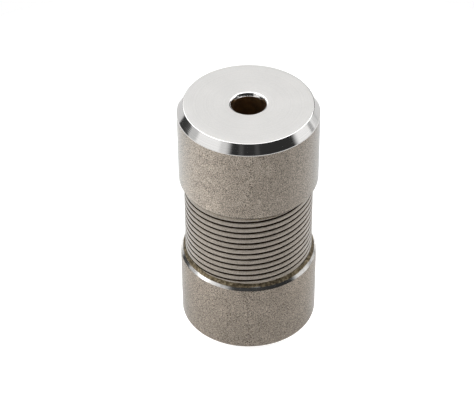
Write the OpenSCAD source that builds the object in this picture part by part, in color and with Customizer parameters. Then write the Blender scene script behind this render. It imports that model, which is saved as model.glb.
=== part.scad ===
// Flexible shaft coupling: two bored hubs joined by three layers of flat wire.
// The shaft axis is Z. The origin is the centre of the lower hub's end face.

/* [Overall] */
// Outer diameter of the hubs
hub_d = 26; // [24:0.5:30]
// Length over both hubs
total_length = 50.3; // [46:0.1:60]
// Diameter of the shaft bores
bore_d = 6; // [4:0.5:8]

/* [Hubs] */
// Length of each hub, without its spigot
hub_length = 16.8; // [14:0.1:18]
// Radial size of the chamfer round each end face
end_chamfer_radial = 1.15; // [0.5:0.05:1.5]
// Axial size of the chamfer round each end face
end_chamfer_axial = 1.75; // [0.5:0.05:2.5]
// Radial size of the chamfer round each hub's inner edge
inner_chamfer_radial = 0.5; // [0.2:0.05:0.6]
// Axial size of the chamfer round each hub's inner edge
inner_chamfer_axial = 0.65; // [0.2:0.05:0.9]
// Chamfer of the bore at the end face, measured across the axis
bore_chamfer_radial = 0.3; // [0.1:0.05:0.8]
// Chamfer of the bore at the end face, measured along the axis
bore_chamfer_axial = 0.7; // [0.3:0.05:1]
// Height of the spigot that centres the wire pack
spigot_height = 1.5; // [1:0.1:2.5]
// Chamfer of the spigot's outer edge
spigot_chamfer = 0.45; // [0.3:0.05:0.6]
// Chamfer of the bore at the spigot
spigot_bore_chamfer = 0.3; // [0.1:0.05:0.5]

/* [Wire pack] */
// Outer diameter of the wire pack
pack_d = 24.12; // [22:0.02:24.4]
// Radial thickness of each wire
wire_thickness = 1.5; // [1:0.05:1.7]
// Height of each wire along the shaft axis
wire_height = 0.92; // [0.8:0.01:1.1]
// Distance between neighbouring wires along the axis, centre to centre
wire_spacing = 1.2935; // [1.2:0.0005:1.4]
// Radial clearance between two layers
layer_clearance = 0.06; // [0.05:0.01:0.1]
// Radial clearance between the inner layer and the spigots
spigot_clearance = 0.06; // [0.05:0.01:0.1]
// Where the first outer wire starts, in degrees round the axis
outer_start = 96; // [0:1:119]
// Where the first middle wire starts, in degrees round the axis
middle_start = 40; // [0:1:119]
// Where the first inner wire starts, in degrees round the axis
inner_start = 10; // [0:1:119]

/* [Braze] */
// Height of the outer braze fillets on the wires
fillet_height = 0.65; // [0.4:0.05:0.9]
// Clear land between an outer fillet and the hub's chamfer
fillet_land = 0.02; // [0.02:0.01:0.2]

/* [Set screws] */
// Thread diameter of the set screws
screw_d = 4; // [3:0.5:4]
// Length of the set screws
screw_length = 8; // [6:0.5:8.5]
// Diameter of the tapped holes
tapped_d = 3.3; // [2.5:0.1:3.3]
// Width across the flats of the socket
socket_flats = 2; // [1.5:0.1:2]
// Depth of the socket
socket_depth = 2.5; // [1.5:0.1:3]
// Distance of the screws from the hub's end face
screw_place = 8; // [6:0.5:10]

/* [Hidden] */
$fn = 96;

// Colours
steel = [0.62, 0.60, 0.57];
spring_steel = [0.50, 0.47, 0.43];
middle_steel = [0.44, 0.42, 0.40];
inner_steel = [0.38, 0.37, 0.36];
braze = [0.62, 0.48, 0.24];
black_oxide = [0.12, 0.12, 0.13];

// Radii
hub_r = hub_d / 2;
bore_r = bore_d / 2;
pack_r = pack_d / 2;
layer_step = wire_thickness + layer_clearance;
middle_r = pack_r - layer_step;
inner_r = pack_r - 2 * layer_step;
pack_bore_r = inner_r - wire_thickness;
spigot_r = pack_bore_r - spigot_clearance;

// The wires fill the space between the hubs' inner faces
pack_low = hub_length;
pack_high = total_length - hub_length;

// Winding: each layer has three wires side by side
STARTS = 3;
STEPS_PER_TURN = 40;
RIGHT_HAND = 1;
LEFT_HAND = -1;
lead = STARTS * wire_spacing;
// Thickness of the blunt tip where a wire's ground end runs out
wire_tip = 0.12;

// Small gap that keeps the braze rings off the flat facets of the wires
braze_gap = 0.02;
FILLET_STEPS = 8;

// Set screws: 90 degrees apart, and their tips just clear of the bore
screw_angles = [45, 135];
tip_clearance = 0.1;
cup_depth = 0.6;

// ---- Hubs ----

// One hub with its end face at z = 0 and its spigot pointing up
module hub_body() {
  spigot_top = hub_length + spigot_height;
  rotate_extrude()
    polygon([
      [bore_r + bore_chamfer_radial, 0],
      [hub_r - end_chamfer_radial, 0],
      [hub_r, end_chamfer_axial],
      [hub_r, hub_length - inner_chamfer_axial],
      [hub_r - inner_chamfer_radial, hub_length],
      [spigot_r, hub_length],
      [spigot_r, spigot_top - spigot_chamfer],
      [spigot_r - spigot_chamfer, spigot_top],
      [bore_r + spigot_bore_chamfer, spigot_top],
      [bore_r, spigot_top - spigot_bore_chamfer],
      [bore_r, bore_chamfer_axial]
    ]);
}

// Puts its children where a set screw goes, with +Z pointing out of the hub
module at_screw(angle, height) {
  rotate([0, 0, angle])
    translate([0, 0, height])
      rotate([0, 90, 0])
        children();
}

module tapped_hole() {
  cylinder(h = hub_r + 1, d = tapped_d);
  // Countersink that leads the screw in
  translate([0, 0, hub_r - 0.35])
    cylinder(h = 0.5, r1 = tapped_d / 2, r2 = tapped_d / 2 + 0.5);
}

module drilled_hub() {
  difference() {
    hub_body();
    for (angle = screw_angles)
      at_screw(angle, screw_place) tapped_hole();
  }
}

module lower_hub() {
  color(steel) drilled_hub();
}

module upper_hub() {
  color(steel)
    translate([0, 0, total_length])
      mirror([0, 0, 1])
        drilled_hub();
}

// ---- Wire pack ----

function held(z) = min(max(z, pack_low), pack_high);

// The four corners of a wire's section at one angle, cut off flat at both hub faces
function section(angle, z, r_out) = [
  for (corner = [[0, -1], [0, 1], [1, 1], [1, -1]])
    let (r = r_out - corner[0] * wire_thickness)
      [r * cos(angle), r * sin(angle), held(z + corner[1] * wire_height / 2)]
];

// Two triangles between the same edge of two neighbouring sections
function side_faces(first, corner) =
  let (
    a = first + corner,
    b = first + (corner + 1) % 4,
    c = b + 4,
    d = a + 4
  )
    [[a, b, c], [a, c, d]];

// One flat wire, wound from the lower hub's face to the upper hub's face
module wire(start, hand, r_out) {
  rise = pack_high - pack_low + wire_height - 2 * wire_tip;
  steps = ceil(rise / lead * STEPS_PER_TURN);
  first_z = pack_low + wire_tip - wire_height / 2;
  points = [
    for (i = [0:steps])
      let (z = first_z + rise * i / steps)
        each section(start + hand * 360 * (z - pack_low) / lead, z, r_out)
  ];
  last = 4 * steps;
  faces = concat(
    [[0, 3, 2, 1]],
    [for (i = [0:steps - 1], corner = [0:3]) each side_faces(4 * i, corner)],
    [[last, last + 1, last + 2, last + 3]]
  );
  // A left-hand wire is turned inside out by its winding, so its faces are reversed
  outward = hand == RIGHT_HAND ? [for (f = faces) [for (k = [len(f) - 1:-1:0]) f[k]]] : faces;
  polyhedron(points, outward, convexity = 10);
}

function wire_start(layer_start, number) = layer_start + (number - 1) * 360 / STARTS;

module outer_wire(number) {
  color(spring_steel)
    wire(wire_start(outer_start, number), RIGHT_HAND, pack_r);
}

module middle_wire(number) {
  color(middle_steel)
    wire(wire_start(middle_start, number), LEFT_HAND, middle_r);
}

module inner_wire(number) {
  color(inner_steel)
    wire(wire_start(inner_start, number), RIGHT_HAND, inner_r);
}

// ---- Braze ----

// Hollow fillet in the corner between the hub's inner face and the outer wires
module outer_fillet() {
  low_r = pack_r + braze_gap;
  width = hub_r - inner_chamfer_radial - fillet_land - low_r;
  curve = [
    for (i = [0:FILLET_STEPS])
      let (a = 90 * i / FILLET_STEPS)
        [low_r + width * (1 - sin(a)), hub_length + fillet_height * (1 - cos(a))]
  ];
  rotate_extrude()
    polygon(concat([[low_r, hub_length]], curve));
}

// Braze that fills the groove between the spigot's chamfer and the inner wires
module inner_fillet() {
  groove_low = hub_length + spigot_height - spigot_chamfer;
  rotate_extrude()
    polygon([
      [spigot_r, groove_low],
      [spigot_r, groove_low + spigot_chamfer * 1.3],
      [spigot_r - spigot_chamfer, groove_low + spigot_chamfer]
    ]);
}

module lower_outer_braze_ring() {
  color(braze) outer_fillet();
}

module lower_inner_braze_ring() {
  color(braze) inner_fillet();
}

module upper_outer_braze_ring() {
  color(braze)
    translate([0, 0, total_length])
      mirror([0, 0, 1])
        outer_fillet();
}

module upper_inner_braze_ring() {
  color(braze)
    translate([0, 0, total_length])
      mirror([0, 0, 1])
        inner_fillet();
}

// ---- Set screws ----

// A cup-point socket set screw along +Z, with its tip at z = 0
module socket_screw() {
  difference() {
    union() {
      cylinder(h = cup_depth, r1 = screw_d / 4, r2 = screw_d / 2);
      translate([0, 0, cup_depth])
        cylinder(h = screw_length - cup_depth, d = screw_d);
    }
    translate([0, 0, screw_length - socket_depth])
      cylinder(h = socket_depth + 1, d = socket_flats / cos(30), $fn = 6);
    translate([0, 0, -0.01])
      cylinder(h = 0.4, r1 = screw_d / 5, r2 = 0.1);
  }
}

module set_screw(number, height) {
  color(black_oxide)
    at_screw(screw_angles[number - 1], height)
      translate([0, 0, bore_r + tip_clearance])
        socket_screw();
}

lower_hub();
upper_hub();
outer_wire(1);  // outer_wire_1
outer_wire(2);  // outer_wire_2
outer_wire(3);  // outer_wire_3
middle_wire(1);  // middle_wire_1
middle_wire(2);  // middle_wire_2
middle_wire(3);  // middle_wire_3
inner_wire(1);  // inner_wire_1
inner_wire(2);  // inner_wire_2
inner_wire(3);  // inner_wire_3
lower_outer_braze_ring();
lower_inner_braze_ring();
upper_outer_braze_ring();
upper_inner_braze_ring();
set_screw(1, screw_place);  // lower_set_screw_1
set_screw(2, screw_place);  // lower_set_screw_2
set_screw(1, total_length - screw_place);  // upper_set_screw_1
set_screw(2, total_length - screw_place);  // upper_set_screw_2
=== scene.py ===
"""Looks of a flexible shaft coupling: two turned steel hubs joined by three layers of flat wire.

Metres, +Z up along the shaft axis, with the lower hub standing on z = 0.
"""

import math

import bpy
from mathutils import Matrix, Vector


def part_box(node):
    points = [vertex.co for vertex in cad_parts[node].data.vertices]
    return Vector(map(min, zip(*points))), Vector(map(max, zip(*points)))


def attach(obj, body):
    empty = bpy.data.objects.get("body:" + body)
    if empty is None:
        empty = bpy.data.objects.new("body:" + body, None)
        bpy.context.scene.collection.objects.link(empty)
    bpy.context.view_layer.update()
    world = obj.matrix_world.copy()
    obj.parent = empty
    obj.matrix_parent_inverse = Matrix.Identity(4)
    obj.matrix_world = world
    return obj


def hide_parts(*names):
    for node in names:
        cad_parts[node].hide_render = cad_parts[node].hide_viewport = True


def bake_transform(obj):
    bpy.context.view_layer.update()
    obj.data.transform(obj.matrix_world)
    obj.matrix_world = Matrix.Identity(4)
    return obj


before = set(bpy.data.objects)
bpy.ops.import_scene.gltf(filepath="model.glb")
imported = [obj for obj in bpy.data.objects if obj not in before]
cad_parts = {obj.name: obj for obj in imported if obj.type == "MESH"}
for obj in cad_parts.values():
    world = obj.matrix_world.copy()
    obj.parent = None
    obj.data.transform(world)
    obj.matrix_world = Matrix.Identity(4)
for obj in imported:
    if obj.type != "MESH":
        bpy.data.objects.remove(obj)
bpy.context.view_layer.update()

MM = 0.001

# ---- Sizes, from the frame where it gives them ----

hub_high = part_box("lower_hub")[1]
wire_low, wire_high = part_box("outer_wire_1")

HUB_R = hub_high.x
HUB_TOP = hub_high.z          # the top of the lower hub's spigot
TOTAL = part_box("upper_hub")[1].z
PACK_LOW = wire_low.z
PACK_HIGH = wire_high.z
HUB_LENGTH = PACK_LOW

END_CHAMFER_RADIAL = 1.15 * MM
END_CHAMFER_AXIAL = 1.75 * MM
INNER_CHAMFER_RADIAL = 0.5 * MM
INNER_CHAMFER_AXIAL = 0.65 * MM
BORE_R = 3.0 * MM
BORE_CHAMFER_RADIAL = 0.3 * MM
BORE_CHAMFER_AXIAL = 0.7 * MM
SPIGOT_BORE_CHAMFER = 0.3 * MM
SPIGOT_CHAMFER = 0.45 * MM
EDGE_RADIUS = 0.07 * MM       # how far deburring rounds most edges back from the corner
WORN_EDGE_RADIUS = 0.10 * MM  # the end chamfer's lower edge, worn by handling
SHARP_EDGE_RADIUS = 0.035 * MM     # the edge beside the pack
RIM_RADIUS = 0.09 * MM        # the end face's rim
BORE_LIP_RADIUS = 0.25 * MM   # the bore's mouth
TURNING_DEPTH = 0.003 * MM    # ridges that the turning tool leaves on the polished chamfers

WIRE_THICKNESS = 1.5 * MM
WIRE_HEIGHT = 0.92 * MM
WIRE_SPACING = 1.2935 * MM
WIRE_CORNER = 0.15 * MM       # how far the wire's edges are rounded back
WIRE_TIP = 0.12 * MM          # what is left of a wire's height at its ends, where the hub's face cuts it
LAYER_CLEARANCE = 0.06 * MM
STARTS = 3
LEAD = STARTS * WIRE_SPACING
PACK_R = 12.06 * MM

LAYERS = {
    # name: (outer radius, hand, start angle in degrees, steps per turn)
    "outer": (PACK_R, 1, 96, 144),
    "middle": (PACK_R - WIRE_THICKNESS - LAYER_CLEARANCE, -1, 40, 96),
    "inner": (PACK_R - 2 * (WIRE_THICKNESS + LAYER_CLEARANCE), 1, 10, 96),
}
PACK_BORE_R = LAYERS["inner"][0] - WIRE_THICKNESS
SPIGOT_R = PACK_BORE_R - LAYER_CLEARANCE

BRAZE_INSET = 0.02 * MM       # how far the braze reaches into the pack's outside
BRAZE_SINK = 0.03 * MM        # and into the hub
BRAZE_SPILL = 0.075 * MM      # how far it spills over the chamfer, and how much that wanders
BRAZE_SPILL_WANDER = 0.03 * MM
BRAZE_RISE = 0.60 * MM        # how far it climbs the wires
BRAZE_RISE_WANDER = 0.09 * MM
BRAZE_BELLY = 0.10            # how full its section is, as a share of its size, and how much that wanders
BRAZE_SEGMENTS = 480
BRAZE_STEPS = 8

SCREW_R = 2.0 * MM
SCREW_CORE_R = 1.65 * MM
SCREW_PITCH = 0.7 * MM
SCREW_LENGTH = 8.0 * MM
SCREW_PLACE = 8.0 * MM
SCREW_TIP_R = BORE_R + 0.1 * MM
SCREW_FIT = 0.04 * MM         # how much smaller the screw's thread is than the hole's
SCREW_RUN_OUT = 0.35 * MM     # where the thread fades out at both ends
SOCKET_FLATS = 2.0 * MM
SOCKET_DEPTH = 2.5 * MM
SOCKET_CHAMFER = 0.12 * MM
SOCKET_CONE = 0.5 * MM        # the drill's cone at the bottom of the socket
CUP_R = 0.9 * MM              # the cup at the screw's point
CUP_RIM_R = 1.0 * MM
CUP_DEPTH = 0.45 * MM
POINT_LENGTH = 0.5 * MM
SCREW_ANGLES = (45, 135)

COUNTERSINK_DEPTH = 0.3 * MM  # at the mouth of each screw hole
COUNTERSINK_RADIAL = 0.5 * MM

HUB_SEGMENTS = 288
SCREW_SEGMENTS = 48

# ---- Painted shade: the hubs' sides painted darker towards the table, up the lower hub ----

PAINTED_FOOT_SHADE = 0.81             # how bright the hubs' sides are at z = 0,
PAINTED_FOOT_SHADE_RISE = 0.02        # how much that rises with each millimetre up,
PAINTED_FOOT_SHADE_MOST = 1.10        # and where it stops, below the top of the lower hub


# ---- Mesh helpers ----

def new_object(name, vertices, faces, materials, face_materials=None, sharp_angle=35):
    """A mesh object with smooth faces and sharp edges above an angle."""
    mesh = bpy.data.meshes.new(name)
    mesh.from_pydata([tuple(v) for v in vertices], [], faces)
    for material in materials:
        mesh.materials.append(material)
    if face_materials is not None:
        mesh.polygons.foreach_set("material_index", face_materials)
    mesh.polygons.foreach_set("use_smooth", [True] * len(mesh.polygons))
    mesh.set_sharp_from_angle(angle=math.radians(sharp_angle))
    mesh.validate()
    obj = bpy.data.objects.new(name, mesh)
    bpy.context.scene.collection.objects.link(obj)
    return obj


def skin(loops, closed=False):
    """Vertices, faces and each face's (loop, side) numbers, for a skin over loops of equal length."""
    count = len(loops[0])
    vertices = [point for loop in loops for point in loop]
    faces, places = [], []
    last = len(loops) if closed else len(loops) - 1
    for i in range(last):
        a, b = i * count, (i + 1) % len(loops) * count
        for k in range(count):
            n = (k + 1) % count
            faces.append((a + k, a + n, b + n, b + k))
            places.append((i, k))
    if not closed:
        end = last * count
        faces.append(tuple(range(count - 1, -1, -1)))
        faces.append(tuple(range(end, end + count)))
        places += [(0, 0), (last - 1, 0)]
    return vertices, faces, places


def ring(radius, height, segments):
    """Points of a circle round the axis."""
    turn = 2 * math.pi / segments
    return [
        Vector((radius * math.cos(k * turn), radius * math.sin(k * turn), height))
        for k in range(segments)
    ]


def rounded(before, corner, after, radius, steps=4):
    """Points of a small arc that rounds a corner of an outline."""
    before, corner, after = Vector(before), Vector(corner), Vector(after)
    start = corner + (before - corner).normalized() * radius
    end = corner + (after - corner).normalized() * radius
    points = []
    for i in range(steps + 1):
        t = i / steps
        points.append(start * (1 - t) ** 2 + corner * 2 * t * (1 - t) + end * t ** 2)
    return points


# ---- Hubs ----

def hub_outline():
    """The lower hub's outline: (radius, height, material number of the strip that starts there)."""
    face, chamfer, side, bore, dull = range(5)
    fine, worn = EDGE_RADIUS, WORN_EDGE_RADIUS
    corners = [
        # (radius, height), then the round there and its material, then the run on: material, pieces
        ((BORE_R + BORE_CHAMFER_RADIAL, 0), BORE_LIP_RADIUS, chamfer, face, 8),
        ((HUB_R - END_CHAMFER_RADIAL, 0), RIM_RADIUS, chamfer, chamfer, 16),
        ((HUB_R, END_CHAMFER_AXIAL), worn, chamfer, side, 14),
        ((HUB_R, HUB_LENGTH - INNER_CHAMFER_AXIAL), SHARP_EDGE_RADIUS, side, dull, 5),
        ((HUB_R - INNER_CHAMFER_RADIAL, HUB_LENGTH), fine, face, face, 2),
        ((SPIGOT_R, HUB_LENGTH), fine, bore, bore, 1),
        ((SPIGOT_R, HUB_TOP - SPIGOT_CHAMFER), fine, bore, bore, 1),
        ((SPIGOT_R - SPIGOT_CHAMFER, HUB_TOP), fine, bore, bore, 1),
        ((BORE_R + SPIGOT_BORE_CHAMFER, HUB_TOP), fine, bore, bore, 1),
        ((BORE_R, HUB_TOP - SPIGOT_BORE_CHAMFER), fine, bore, bore, 14),
        ((BORE_R, BORE_CHAMFER_AXIAL), fine, chamfer, chamfer, 5),
    ]
    outline = []
    for i, (corner, radius, edge, material, pieces) in enumerate(corners):
        before = corners[i - 1][0]
        after, after_radius = corners[(i + 1) % len(corners)][:2]
        arc = rounded(before, corner, after, radius)
        outline += [(p.x, p.y, edge) for p in arc[:-1]]
        outline.append((arc[-1].x, arc[-1].y, material))
        along = (Vector(after) - Vector(corner)).normalized()
        outward = Vector((along.y, -along.x))
        start, stop = arc[-1], Vector(after) - along * after_radius
        for k in range(1, pieces):
            p = start.lerp(stop, k / pieces)
            if material == chamfer:
                p += outward * TURNING_DEPTH * math.sin(2.4 * k + i)
            outline.append((p.x, p.y, material))
    return outline


def thread_radius(angle, along, core, crest):
    """Radius of a V thread at one angle and one distance along its axis."""
    phase = (along / SCREW_PITCH - angle / (2 * math.pi)) % 1
    height = 1 - abs(2 * phase - 1)
    return core + (crest - core) * min(1, max(0, 1.35 * height - 0.15))


def thread_loops(core, crest, start, end, run_out=0.0):
    """Loops of a threaded cylinder along Z. The thread fades out over run_out at both ends."""
    rows = max(2, round((end - start) / SCREW_PITCH * 8))
    loops = []
    for j in range(rows + 1):
        along = start + (end - start) * j / rows
        inside = min(along - start, end - along)
        share = 1 if run_out == 0 else min(1, inside / run_out)
        loop = []
        for k in range(SCREW_SEGMENTS):
            angle = 2 * math.pi * k / SCREW_SEGMENTS
            radius = core + share * (thread_radius(angle, along, core, crest) - core)
            loop.append(Vector((radius * math.cos(angle), radius * math.sin(angle), along)))
        loops.append(loop)
    return loops


def out_of_hub(angle, height):
    """Turns +Z to point out of the hub's side at an angle round the axis, at a height."""
    return (
        Matrix.Translation((0, 0, height))
        @ Matrix.Rotation(math.radians(angle), 4, "Z")
        @ Matrix.Rotation(math.radians(90), 4, "Y")
    )


def cut_tapped_holes(hub, height, material):
    """Cuts the tapped holes into a hub's side, with their threads and countersinks."""
    mouth = HUB_R - COUNTERSINK_DEPTH
    wide = SCREW_R + COUNTERSINK_RADIAL
    for angle in SCREW_ANGLES:
        loops = [ring(SCREW_CORE_R, BORE_R - 1.5 * MM, SCREW_SEGMENTS)]
        loops += thread_loops(SCREW_CORE_R, SCREW_R, BORE_R - 1 * MM, mouth)
        loops.append(ring(SCREW_R + 0.06 * MM, mouth + 0.05 * MM, SCREW_SEGMENTS))
        loops.append(ring(wide, HUB_R + 0.1 * MM, SCREW_SEGMENTS))
        loops.append(ring(wide, HUB_R + 1 * MM, SCREW_SEGMENTS))
        vertices, faces, _ = skin(loops)
        cutter = new_object("cutter", vertices, faces, [material])
        cutter.matrix_world = out_of_hub(angle, height)
        modifier = hub.modifiers.new("hole", "BOOLEAN")
        modifier.operation = "DIFFERENCE"
        modifier.solver = "EXACT"
        modifier.material_mode = "TRANSFER"
        modifier.object = cutter
        bpy.context.view_layer.update()
        cut = bpy.data.meshes.new_from_object(
            hub.evaluated_get(bpy.context.evaluated_depsgraph_get())
        )
        hub.modifiers.clear()
        hub.data = cut
        bpy.data.objects.remove(cutter)
    hub.data.polygons.foreach_set("use_smooth", [True] * len(hub.data.polygons))
    hub.data.set_sharp_from_angle(angle=math.radians(32))


def make_hub(end, materials):
    """One turned hub with its tapped holes, for the lower or the upper end."""
    outline = hub_outline()
    loops = []
    for radius, height, _ in outline:
        z = height if end == "lower" else TOTAL - height
        loops.append(ring(radius, z, HUB_SEGMENTS))
    vertices, faces, places = skin(loops, closed=True)
    if end == "lower":
        faces = [tuple(reversed(face)) for face in faces]
    numbers = [outline[strip][2] for strip, _ in places]
    hub = new_object(f"{end}_hub_body", vertices, faces, materials, numbers)
    height = SCREW_PLACE if end == "lower" else TOTAL - SCREW_PLACE
    cut_tapped_holes(hub, height, materials[4])
    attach(hub, f"{end}_end")
    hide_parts(f"{end}_hub")
    return hub


# ---- Wires ----

BODIES = ["lower_end", *(f"pack_section_{n}" for n in range(1, 6)), "upper_end"]
ZONE_ENDS = [z * MM for z in (17.8, 20.5, 23.2, 25.8, 27.1, 29.8, 32.5)]

# (body below, body above, height where the motion between them starts, height where it ends)
ZONES = list(zip(BODIES, BODIES[1:], ZONE_ENDS, ZONE_ENDS[1:]))


def wire_outline(radius):
    """A flat wire's section as (distance from the axis, height from its middle), with round corners."""
    half = WIRE_HEIGHT / 2
    corners = [
        (radius, -half),
        (radius, half),
        (radius - WIRE_THICKNESS, half),
        (radius - WIRE_THICKNESS, -half),
    ]
    points = []
    for i, corner in enumerate(corners):
        points += rounded(corners[i - 1], corner, corners[(i + 1) % 4], WIRE_CORNER, steps=3)
    return points


def wire_section(outline, middle, angle):
    """The section at one place along the wire, cut off flat at the hubs' faces."""
    points = []
    for p in outline:
        z = min(max(middle + p.y, PACK_LOW), PACK_HIGH)
        points.append(Vector((p.x * math.cos(angle), p.x * math.sin(angle), z)))
    return points


def wire_face_material(side):
    """0 on the wire's outer face and most of its round edges, 1 on the faces that the gaps hide."""
    return 0 if 1 <= side <= 5 else 1


def make_wire(layer, number, materials):
    """One wire from hub to hub, in pieces that each span one joint's zone."""
    radius, hand, start, steps = LAYERS[layer]
    outline = wire_outline(radius)
    first = PACK_LOW + WIRE_TIP - WIRE_HEIGHT / 2
    last = PACK_HIGH - WIRE_TIP + WIRE_HEIGHT / 2
    start_angle = math.radians(start + (number - 1) * 360 / STARTS)
    for part, (below, above, low, high) in enumerate(ZONES, 1):
        piece_low = first if part == 1 else low
        piece_high = last if part == len(ZONES) else high
        count = max(2, round((piece_high - piece_low) / LEAD * steps))
        loops = []
        for i in range(count + 1):
            middle = piece_low + (piece_high - piece_low) * i / count
            angle = start_angle + hand * 2 * math.pi * (middle - PACK_LOW) / LEAD
            loops.append(wire_section(outline, middle, angle))
        vertices, faces, places = skin(loops)
        if hand < 0:
            faces = [tuple(reversed(face)) for face in faces]
        numbers = [wire_face_material(side) for _, side in places]
        name = f"{layer}_wire_{number}_part_{part}"
        piece = new_object(name, vertices, faces, materials, numbers)
        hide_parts(f"{layer}_wire_{number}")
        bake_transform(piece)


# ---- Braze ----

def wander(angle, seed):
    """A smooth value from about -1 to 1 that wanders with the angle and closes after a turn."""
    terms = ((3, 1.3, 0.45), (7, 2.1, 0.3), (13, 0.7, 0.2), (29, 1.9, 0.12), (53, 2.6, 0.08))
    return sum(size * math.sin(n * angle + phase * seed) for n, phase, size in terms)


def make_outer_braze(end, material, seed):
    """The lumpy fillet in the corner between the outer wires and a hub's inner face."""
    inner = PACK_R - BRAZE_INSET
    chamfer_edge = HUB_R - INNER_CHAMFER_RADIAL
    slope = INNER_CHAMFER_AXIAL / INNER_CHAMFER_RADIAL
    loops = []
    for k in range(BRAZE_SEGMENTS):
        angle = 2 * math.pi * k / BRAZE_SEGMENTS
        reach = chamfer_edge - inner + BRAZE_SPILL + BRAZE_SPILL_WANDER * wander(angle, seed)
        rise = BRAZE_RISE + BRAZE_RISE_WANDER * wander(angle, seed + 3)
        belly = BRAZE_BELLY + BRAZE_BELLY * wander(2 * angle, seed + 5)
        foot = HUB_LENGTH - slope * max(0, inner + reach - chamfer_edge)
        outline = [(inner, HUB_LENGTH - BRAZE_SINK), (inner + reach, foot - BRAZE_SINK)]
        for i in range(BRAZE_STEPS + 1):
            turn = math.pi / 2 * i / BRAZE_STEPS
            swell = belly * math.sin(2 * turn)
            r = inner + reach * (1 - math.sin(turn) + swell)
            z = HUB_LENGTH + rise * (1 - math.cos(turn) + swell)
            outline.append((r, z - slope * max(0, r - chamfer_edge)))
        loops.append([
            Vector((r * math.cos(angle), r * math.sin(angle), z if end == "lower" else TOTAL - z))
            for r, z in outline
        ])
    vertices, faces, _ = skin(loops, closed=True)
    if end == "upper":
        faces = [tuple(reversed(face)) for face in faces]
    piece = new_object(f"{end}_outer_braze", vertices, faces, [material], sharp_angle=60)
    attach(piece, f"{end}_end")
    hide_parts(f"{end}_outer_braze_ring")


# ---- Set screws ----

def hexagon(flats, height, segments):
    """Points round a hexagon, as many as a circle has, so that the two can be joined."""
    points = []
    for k in range(segments):
        angle = 2 * math.pi * k / segments
        across = (angle % (math.pi / 3)) - math.pi / 6
        radius = flats / 2 / math.cos(across)
        points.append(Vector((radius * math.cos(angle), radius * math.sin(angle), height)))
    return points


def make_set_screw(end, number, material):
    """A socket set screw with its thread, its cup point and its hexagon socket."""
    n = SCREW_SEGMENTS
    crest = SCREW_R - SCREW_FIT
    core = SCREW_CORE_R - SCREW_FIT
    thread_start = POINT_LENGTH + 0.05 * MM
    thread_end = SCREW_LENGTH - 0.25 * MM
    loops = [
        ring(0.05 * MM, CUP_DEPTH, n),
        ring(CUP_R, 0.02 * MM, n),
        ring(CUP_RIM_R, 0, n),
        ring(core - 0.1 * MM, POINT_LENGTH, n),
    ]
    loops += thread_loops(core, crest, thread_start, thread_end, run_out=SCREW_RUN_OUT)
    loops += [
        ring(core - 0.12 * MM, SCREW_LENGTH, n),
        ring(SOCKET_FLATS / 2 * 1.22, SCREW_LENGTH, n),
        hexagon(SOCKET_FLATS, SCREW_LENGTH - SOCKET_CHAMFER, n),
        hexagon(SOCKET_FLATS, SCREW_LENGTH - SOCKET_DEPTH, n),
        ring(0.08 * MM, SCREW_LENGTH - SOCKET_DEPTH - SOCKET_CONE, n),
    ]
    vertices, faces, _ = skin(loops)
    screw = new_object(f"{end}_set_screw_{number}_threaded", vertices, faces, [material])
    height = SCREW_PLACE if end == "lower" else TOTAL - SCREW_PLACE
    place = out_of_hub(SCREW_ANGLES[number - 1], height) @ Matrix.Translation((0, 0, SCREW_TIP_R))
    screw.data.transform(place)
    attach(screw, f"{end}_end")
    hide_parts(f"{end}_set_screw_{number}")


# ---- Materials ----

def new_material(name):
    """An empty node material, with its Principled shader and its millimetre coordinates."""
    material = bpy.data.materials.new(name)
    material.use_nodes = True
    tree = material.node_tree
    shader = tree.nodes["Principled BSDF"]
    coordinates = tree.nodes.new("ShaderNodeTexCoord")
    in_mm = tree.nodes.new("ShaderNodeVectorMath")
    in_mm.operation = "SCALE"
    in_mm.inputs["Scale"].default_value = 1 / MM
    tree.links.new(coordinates.outputs["Object"], in_mm.inputs[0])
    return material, tree, shader, in_mm.outputs[0]


def stretched(tree, vector, scale):
    """Coordinates scaled by a different amount along each axis."""
    node = tree.nodes.new("ShaderNodeVectorMath")
    node.operation = "MULTIPLY"
    node.inputs[1].default_value = scale
    tree.links.new(vector, node.inputs[0])
    return node.outputs[0]


def noise(tree, vector, scale, detail=2.0, roughness=0.5):
    """Noise in space, with scale in turns per millimetre where the vector is in millimetres."""
    node = tree.nodes.new("ShaderNodeTexNoise")
    node.inputs["Scale"].default_value = scale
    node.inputs["Detail"].default_value = detail
    node.inputs["Roughness"].default_value = roughness
    tree.links.new(vector, node.inputs["Vector"])
    return node.outputs["Fac"]


def ramp(tree, value, stops):
    """A colour ramp. Each stop is (place, colour or grey)."""
    node = tree.nodes.new("ShaderNodeValToRGB")
    elements = node.color_ramp.elements
    while len(elements) < len(stops):
        elements.new(0.5)
    for element, (place, colour) in zip(elements, stops):
        element.position = place
        rgb = (colour,) * 3 if isinstance(colour, (int, float)) else colour
        element.color = (*rgb, 1)
    tree.links.new(value, node.inputs["Fac"])
    return node.outputs["Color"]


def mixed(tree, factor, a, b, blend="MIX"):
    """Mixes two colours, each a socket or a colour, by a socket or a number."""
    node = tree.nodes.new("ShaderNodeMix")
    node.data_type = "RGBA"
    node.blend_type = blend
    for socket, value in ((node.inputs[0], factor), (node.inputs[6], a), (node.inputs[7], b)):
        if isinstance(value, bpy.types.NodeSocket):
            tree.links.new(value, socket)
        elif isinstance(value, (int, float)):
            socket.default_value = value
        else:
            socket.default_value = (*value, 1)
    return node.outputs[2]


def bump(tree, shader, height, distance, strength=1.0):
    """Small relief on a shader's surface, from a height."""
    node = tree.nodes.new("ShaderNodeBump")
    node.inputs["Strength"].default_value = strength
    node.inputs["Distance"].default_value = distance
    tree.links.new(height, node.inputs["Height"])
    tree.links.new(node.outputs["Normal"], shader.inputs["Normal"])


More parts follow.
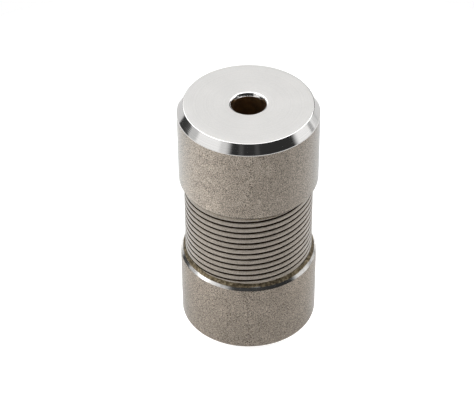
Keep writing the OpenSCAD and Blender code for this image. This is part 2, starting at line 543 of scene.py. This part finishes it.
def math_node(tree, operation, *values):
    """One sum, with numbers or sockets as its values."""
    node = tree.nodes.new("ShaderNodeMath")
    node.operation = operation
    for socket, value in zip(node.inputs, values):
        if isinstance(value, bpy.types.NodeSocket):
            tree.links.new(value, socket)
        else:
            socket.default_value = value
    return node.outputs[0]


def smooth_range(tree, value, start, end):
    """A soft step: 0 where a value is at start, 1 where it is at end."""
    node = tree.nodes.new("ShaderNodeMapRange")
    node.interpolation_type = "SMOOTHSTEP"
    node.inputs["From Min"].default_value = start
    node.inputs["From Max"].default_value = end
    tree.links.new(value, node.inputs["Value"])
    return node


def from_axis(tree, mm):
    """Distance from the shaft axis."""
    flat = stretched(tree, mm, (1, 1, 0))
    node = tree.nodes.new("ShaderNodeVectorMath")
    node.operation = "LENGTH"
    tree.links.new(flat, node.inputs[0])
    return node.outputs["Value"]


def line_noise(tree, value, scale, detail=2.0):
    """Noise along one number, for turning lines."""
    node = tree.nodes.new("ShaderNodeTexNoise")
    node.noise_dimensions = "1D"
    node.inputs["Scale"].default_value = scale
    node.inputs["Detail"].default_value = detail
    tree.links.new(value, node.inputs["W"])
    return node.outputs["Fac"]


def turned(tree, shader, amount):
    """Stretches the gloss along the shaft axis, as fine turning marks do."""
    tangent = tree.nodes.new("ShaderNodeTangent")
    tangent.direction_type = "RADIAL"
    tangent.axis = "Z"
    tree.links.new(tangent.outputs["Tangent"], shader.inputs["Tangent"])
    shader.inputs["Anisotropic"].default_value = amount
    shader.inputs["Anisotropic Rotation"].default_value = 0.25


def sheened(shader, weight, roughness, tint):
    """Adds the pale veil that a fine matte surface shows where it is seen at a low angle."""
    shader.inputs["Sheen Weight"].default_value = weight
    shader.inputs["Sheen Roughness"].default_value = roughness
    shader.inputs["Sheen Tint"].default_value = (*tint, 1)


def hub_side_steel(end, warm, light, painted_side_light, sheen, sheen_roughness):
    """Matte grey steel with a fine dark grain and small pits.

    Painted light: its drift argument paints the steel lighter towards -X, by that share of the ramp with
    each millimetre.
    """
    material, tree, shader, mm = new_material(f"{end}_hub_side_steel")
    shader.inputs["Metallic"].default_value = 1
    shader.inputs["Specular Tint"].default_value = (0.88, 0.88, 0.88, 1)
    turned(tree, shader, 0.6)
    sheened(shader, sheen, sheen_roughness, (0.88, 0.95, 1.0))
    axes = tree.nodes.new("ShaderNodeSeparateXYZ")
    tree.links.new(mm, axes.inputs[0])
    # Painted light: the steel is painted lighter towards -X.
    painted_side_light_shift = math_node(tree, "MULTIPLY", axes.outputs[0], painted_side_light)
    tone = math_node(tree, "SUBTRACT", noise(tree, mm, 0.3, 3), painted_side_light_shift)
    clouds = ramp(tree, tone, [(0.3, warm), (0.9, light)])
    grain = ramp(tree, noise(tree, mm, 6.5, 1.0, 0.7), [(0.30, 0.15), (0.48, 0.96), (0.70, 1.70)])
    colour = mixed(tree, 1.0, clouds, grain, "MULTIPLY")
    pits = ramp(tree, noise(tree, mm, 4.5, 0.5), [(0.27, (0.30, 0.25, 0.21)), (0.33, (1, 1, 1))])
    colour = mixed(tree, 1.0, colour, pits, "MULTIPLY")
    # Painted shade: the sides are painted darker towards z = 0, near the table, up to a cap.
    foot = math_node(tree, "MULTIPLY_ADD", axes.outputs[2], PAINTED_FOOT_SHADE_RISE, PAINTED_FOOT_SHADE)
    colour = mixed(tree, 1.0, colour, math_node(tree, "MINIMUM", foot, PAINTED_FOOT_SHADE_MOST), "MULTIPLY")
    tree.links.new(colour, shader.inputs["Base Color"])
    rough = ramp(tree, noise(tree, mm, 3.4, 2), [(0.3, 0.66), (0.7, 0.52)])
    tree.links.new(rough, shader.inputs["Roughness"])
    bump(tree, shader, noise(tree, mm, 3.4, 3, 0.7), 0.03 * MM, 0.7)
    return material


def hub_face_steel():
    """Faced steel: bright and satin, with fine rings from the turning tool."""
    material, tree, shader, mm = new_material("hub_face_steel")
    shader.inputs["Metallic"].default_value = 0.7
    rings = line_noise(tree, from_axis(tree, mm), 3.5, 3)
    clouds = noise(tree, mm, 0.25, 3)
    colour = ramp(tree, clouds, [(0.3, (0.546, 0.539, 0.528)), (0.7, (0.570, 0.562, 0.550))])
    shade = ramp(tree, rings, [(0.3, 0.965), (0.7, 1.01)])
    colour = mixed(tree, 1.0, colour, shade, "MULTIPLY")
    specks = ramp(tree, noise(tree, mm, 4.0, 1.0), [(0.3, 0.965), (0.7, 1.02)])
    colour = mixed(tree, 1.0, colour, specks, "MULTIPLY")
    tree.links.new(colour, shader.inputs["Base Color"])
    shader.inputs["Roughness"].default_value = 0.48
    bump(tree, shader, rings, 0.004 * MM, 0.6)
    return material


def hub_chamfer_steel():
    """Polished chamfers with fine turning lines."""
    material, tree, shader, mm = new_material("hub_chamfer_steel")
    shader.inputs["Metallic"].default_value = 1
    rings = line_noise(tree, from_axis(tree, mm), 9.0, 3)
    colour = ramp(tree, rings, [(0.3, (0.76, 0.75, 0.735)), (0.7, (0.84, 0.83, 0.82))])
    tree.links.new(colour, shader.inputs["Base Color"])
    rough = ramp(tree, rings, [(0.3, 0.05), (0.7, 0.14)])
    tree.links.new(rough, shader.inputs["Roughness"])
    return material


def inner_chamfer_steel():
    """The chamfers beside the coil: duller than the polished ones at the ends."""
    material, tree, shader, mm = new_material("inner_chamfer_steel")
    shader.inputs["Metallic"].default_value = 1
    marks = noise(tree, mm, 1.5, 3)
    colour = ramp(tree, marks, [(0.3, (0.60, 0.585, 0.56)), (0.7, (0.70, 0.69, 0.67))])
    tree.links.new(colour, shader.inputs["Base Color"])
    rough = ramp(tree, marks, [(0.3, 0.20), (0.7, 0.12)])
    tree.links.new(rough, shader.inputs["Roughness"])
    return material


def hub_bore_steel():
    """The bore's wall: reamed, and browned by the furnace."""
    material, tree, shader, mm = new_material("hub_bore_steel")
    shader.inputs["Metallic"].default_value = 1
    brown, amber = (0.30, 0.20, 0.12), (0.50, 0.34, 0.18)
    colour = ramp(tree, noise(tree, mm, 0.6, 3), [(0.3, brown), (0.7, amber)])
    tree.links.new(colour, shader.inputs["Base Color"])
    shader.inputs["Roughness"].default_value = 0.38
    return material


def wire_steel(name, light, dark, sheen):
    """Ground spring steel with fine lines round the axis."""
    material, tree, shader, mm = new_material(name)
    shader.inputs["Metallic"].default_value = 1
    turned(tree, shader, 0.6)
    sheened(shader, sheen, 0.35, (0.94, 0.97, 1.0))
    lines = noise(tree, stretched(tree, mm, (0.12, 0.12, 9.0)), 1.0, 3, 0.6)
    colour = ramp(tree, lines, [(0.3, dark), (0.7, light)])
    grain = ramp(tree, noise(tree, mm, 5.0, 2, 0.6), [(0.32, 0.60), (0.5, 1.0), (0.68, 1.20)])
    colour = mixed(tree, 1.0, colour, grain, "MULTIPLY")
    tree.links.new(colour, shader.inputs["Base Color"])
    rough = ramp(tree, lines, [(0.3, 0.58), (0.7, 0.46)])
    tree.links.new(rough, shader.inputs["Roughness"])
    bump(tree, shader, lines, 0.01 * MM, 0.5)
    return material


def gap_steel():
    """The wires' hidden faces: turned dark brown by the brazing heat, and painted near black as painted
    shade in the gaps between the turns.
    """
    material, tree, shader, mm = new_material("gap_steel")
    dark, light = (0.022, 0.011, 0.004), (0.045, 0.023, 0.008)
    colour = ramp(tree, noise(tree, mm, 0.8, 3), [(0.3, dark), (0.7, light)])
    tree.links.new(colour, shader.inputs["Base Color"])
    shader.inputs["Roughness"].default_value = 0.75
    shader.inputs["Specular IOR Level"].default_value = 0.15
    return material


def braze_metal():
    """Golden brown braze with small lumps and bright specks."""
    material, tree, shader, mm = new_material("braze_metal")
    shader.inputs["Metallic"].default_value = 1
    dark, brown, gold = (0.055, 0.041, 0.025), (0.13, 0.104, 0.066), (0.36, 0.30, 0.20)
    tint = ramp(tree, noise(tree, mm, 1.6, 4, 0.7), [(0.32, dark), (0.50, brown), (0.70, gold)])
    tree.links.new(tint, shader.inputs["Base Color"])
    rough = ramp(tree, noise(tree, mm, 2.5, 2), [(0.3, 0.62), (0.7, 0.38)])
    tree.links.new(rough, shader.inputs["Roughness"])
    bump(tree, shader, noise(tree, mm, 3.0, 3, 0.6), 0.06 * MM, 0.8)
    return material


def black_oxide():
    """Oiled black oxide."""
    material, tree, shader, mm = new_material("black_oxide")
    shader.inputs["Metallic"].default_value = 0.85
    colour = ramp(tree, noise(tree, mm, 2.0, 3), [(0.3, 0.028), (0.7, 0.06)])
    tree.links.new(colour, shader.inputs["Base Color"])
    shader.inputs["Roughness"].default_value = 0.38
    bump(tree, shader, noise(tree, mm, 6.0, 2), 0.01 * MM, 0.5)
    return material


# ---- Studio ----

CAMERA_ELEVATION = 40          # degrees above the table
CAMERA_AIM = 2.1133            # height of the point it looks at, in hub radii
CAMERA_DISTANCE = 25.9376      # from that point, in hub radii
CAMERA_SENSOR = 36
CAMERA_LENS = 136.15
CAMERA_SHIFT = -0.0244         # the object stands a little right of the middle


def make_camera():
    """The camera looks down from the front, where the photograph was taken."""
    camera = bpy.data.objects.new("camera", bpy.data.cameras.new("camera"))
    bpy.context.scene.collection.objects.link(camera)
    elevation = math.radians(CAMERA_ELEVATION)
    aim = Vector((0, 0, CAMERA_AIM * HUB_R))
    distance = CAMERA_DISTANCE * HUB_R
    back = Vector((0, -math.cos(elevation), math.sin(elevation)))
    camera.location = aim + back * distance
    camera.rotation_euler = (math.pi / 2 - elevation, 0, 0)
    camera.data.sensor_width = CAMERA_SENSOR
    camera.data.lens = CAMERA_LENS
    camera.data.shift_x = CAMERA_SHIFT
    camera.data.clip_start = 0.01
    camera.data.clip_end = 20
    bpy.context.scene.camera = camera


def between(tree, value, low, high, edge):
    """1 where a value is between two limits, with soft edges."""
    rises = smooth_range(tree, value, low - edge, low + edge)
    falls = smooth_range(tree, value, high + edge, high - edge)
    return math_node(tree, "MULTIPLY", rises.outputs[0], falls.outputs[0])


TENT_BRIGHTNESS = 1.0
TENT = [
    # (azimuth from and to, elevation from and to, soft edge, brightness). Angles are in degrees, azimuth
    # from the front with + to the right. Each row covers the ones before it.
    ((-200, 200), (-99, 0), 1, 0.72),       # below the table's level
    ((-200, -124), (-5, 10), 3, 0.62),      # low behind, left and right
    ((124, 200), (-5, 10), 3, 0.70),
    ((-165, -55), (45, 72), 4, 2.8),        # bright panels, left
    ((-165, -128), (14, 50), 4, 2.8),
    ((-99, -84), (-2, 20), 3, 0.60),        # soft edges of the tent, left, front left and right
    ((-45, -31), (5, 44), 3, 0.74),
    ((105, 113), (-3, 8), 2, 0.45),
    ((84, 165), (46, 72), 5, 2.0),          # bright panels, right
    ((122, 165), (24, 52), 4, 1.5),
    ((-31, 76), (-8, 36), 6, 0.03),         # the dark opening at the front, and two faint streaks in it
    ((-47, 80), (32, 57), 4, 0.03),
    ((-15, -8), (10, 31), 2, 0.08),
    ((10, 17), (22, 34), 2, 0.07),
    ((-172, -130), (-4, 28), 2, 0.32),      # dark flags behind, which draw the hubs' edges
    ((-124, -98), (-14, 8), 2, 0.045),
    ((-128, -103), (5, 23), 3, 0.12),
    ((127, 174), (-5, 33), 2, 0.03),
]
TABLE_R = 118 * MM
TABLE_THICKNESS = 2 * MM
TABLE_SEGMENTS = 256
TABLE_GLOW = 0.28
PAINTED_POOL_GLOW = 0.74              # painted pool of light: the table glows brighter round the coupling's foot, over its contact shadow
PAINTED_POOL_START, PAINTED_POOL_END = 16, 30      # millimetres from the axis, where the painted pool of light starts to fade and ends


def make_world():
    """A white light tent with a dark opening at the front."""
    world = bpy.data.worlds.new("studio")
    bpy.context.scene.world = world
    world.use_nodes = True
    tree = world.node_tree
    background = tree.nodes["Background"]
    coordinates = tree.nodes.new("ShaderNodeTexCoord")
    axes = tree.nodes.new("ShaderNodeSeparateXYZ")
    tree.links.new(coordinates.outputs["Generated"], axes.inputs[0])
    back = math_node(tree, "MULTIPLY", axes.outputs[1], -1)
    azimuth = math_node(tree, "DEGREES", math_node(tree, "ARCTAN2", axes.outputs[0], back))
    elevation = math_node(tree, "DEGREES", math_node(tree, "ARCSINE", axes.outputs[2]))
    light = TENT_BRIGHTNESS
    for (left, right), (low, high), edge, brightness in TENT:
        across = between(tree, azimuth, left, right, edge)
        upright = between(tree, elevation, low, high, edge)
        inside = math_node(tree, "MULTIPLY", across, upright)
        keep = math_node(tree, "SUBTRACT", 1, inside)
        own = math_node(tree, "MULTIPLY", inside, brightness)
        light = math_node(tree, "ADD", math_node(tree, "MULTIPLY", keep, light), own)
    path = tree.nodes.new("ShaderNodeLightPath")
    seen = path.outputs["Is Camera Ray"]
    hidden = math_node(tree, "MULTIPLY", math_node(tree, "SUBTRACT", 1, seen), light)
    tree.links.new(math_node(tree, "ADD", hidden, seen), background.inputs["Strength"])
    background.inputs["Color"].default_value = (1, 1, 1, 1)


def make_floor():
    """A plain pale round table under the coupling, faintly lit from below like a light table, with a
    painted pool of light round the coupling's foot.
    """
    material, tree, shader, mm = new_material("table_white")
    shader.inputs["Base Color"].default_value = (0.82, 0.82, 0.82, 1)
    shader.inputs["Roughness"].default_value = 0.9
    shader.inputs["Specular IOR Level"].default_value = 0.1
    shader.inputs["Emission Color"].default_value = (1, 1, 1, 1)
    # Painted light: the table's glow is stronger round the coupling's foot.
    painted_pool = smooth_range(tree, from_axis(tree, mm), PAINTED_POOL_START, PAINTED_POOL_END)
    painted_pool.inputs["To Min"].default_value = PAINTED_POOL_GLOW
    painted_pool.inputs["To Max"].default_value = TABLE_GLOW
    tree.links.new(painted_pool.outputs[0], shader.inputs["Emission Strength"])
    loops = [ring(TABLE_R, z, TABLE_SEGMENTS) for z in (-TABLE_THICKNESS, 0)]
    vertices, faces, _ = skin(loops)
    new_object("table", vertices, faces, [material])


SOFTBOXES = [
    # (name, place and target in metres, side, watts)
    ("top_softbox", (0, 0, 0.5), (0, 0, 0), 0.55, 0.75),
    ("left_softbox", (-0.06, -0.015, 0.04), (-0.055, -0.015, 0), 0.04, 0.007),
    ("right_softbox", (0.06, 0.03, 0.09), (0.055, 0.03, 0), 0.05, 0.013),
]


def add_softbox(name, place, target, side, power):
    """A soft square lamp that points at a target."""
    lamp = bpy.data.lights.new(name, "AREA")
    lamp.shape = "SQUARE"
    lamp.size = side
    lamp.energy = power
    holder = bpy.data.objects.new(name, lamp)
    holder.location = place
    direction = Vector(target) - Vector(place)
    holder.rotation_euler = direction.to_track_quat("-Z", "Y").to_euler()
    bpy.context.scene.collection.objects.link(holder)
    holder.visible_camera = False


# ---- Build ----

bpy.context.scene.view_settings.view_transform = "Standard"
make_camera()
make_world()
make_floor()
for softbox in SOFTBOXES:
    add_softbox(*softbox)

face = hub_face_steel()
chamfer = hub_chamfer_steel()
bore = hub_bore_steel()
dull = inner_chamfer_steel()
# One steel in a lit and a shaded copy: the upper hub's colours are painted lighter than the lower hub's,
# as painted light.
sides = {
    "lower": hub_side_steel(
        "lower", (0.269, 0.233, 0.194), (0.316, 0.276, 0.231), 0.0, 0.38, 0.30
    ),
    "upper": hub_side_steel(
        "upper", (0.287, 0.248, 0.205), (0.411, 0.360, 0.303), 0.034, 0.66, 0.42
    ),
}
for end, side in sides.items():
    make_hub(end, [face, chamfer, side, bore, dull])

gap = gap_steel()
bright = wire_steel("outer_wire_steel", (0.366, 0.327, 0.282), (0.294, 0.259, 0.218), 0.68)
# The middle and inner wires: heat-tinted brown, and painted near black as painted shade where they lie
# behind the outer wires.
heat_stain_and_painted_shade = wire_steel("inner_wire_steel", (0.040, 0.022, 0.009), (0.022, 0.012, 0.005), 0.0)
for layer in LAYERS:
    for number in (1, 2, 3):
        make_wire(layer, number, [bright if layer == "outer" else heat_stain_and_painted_shade, gap])

braze = braze_metal()
for end, seed in (("lower", 1), ("upper", 2)):
    make_outer_braze(end, braze, seed)
    inner_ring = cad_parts[f"{end}_inner_braze_ring"]
    inner_ring.data.materials.clear()
    inner_ring.data.materials.append(braze)

oxide = black_oxide()
for end in ("lower", "upper"):
    for number in (1, 2):
        make_set_screw(end, number, oxide)
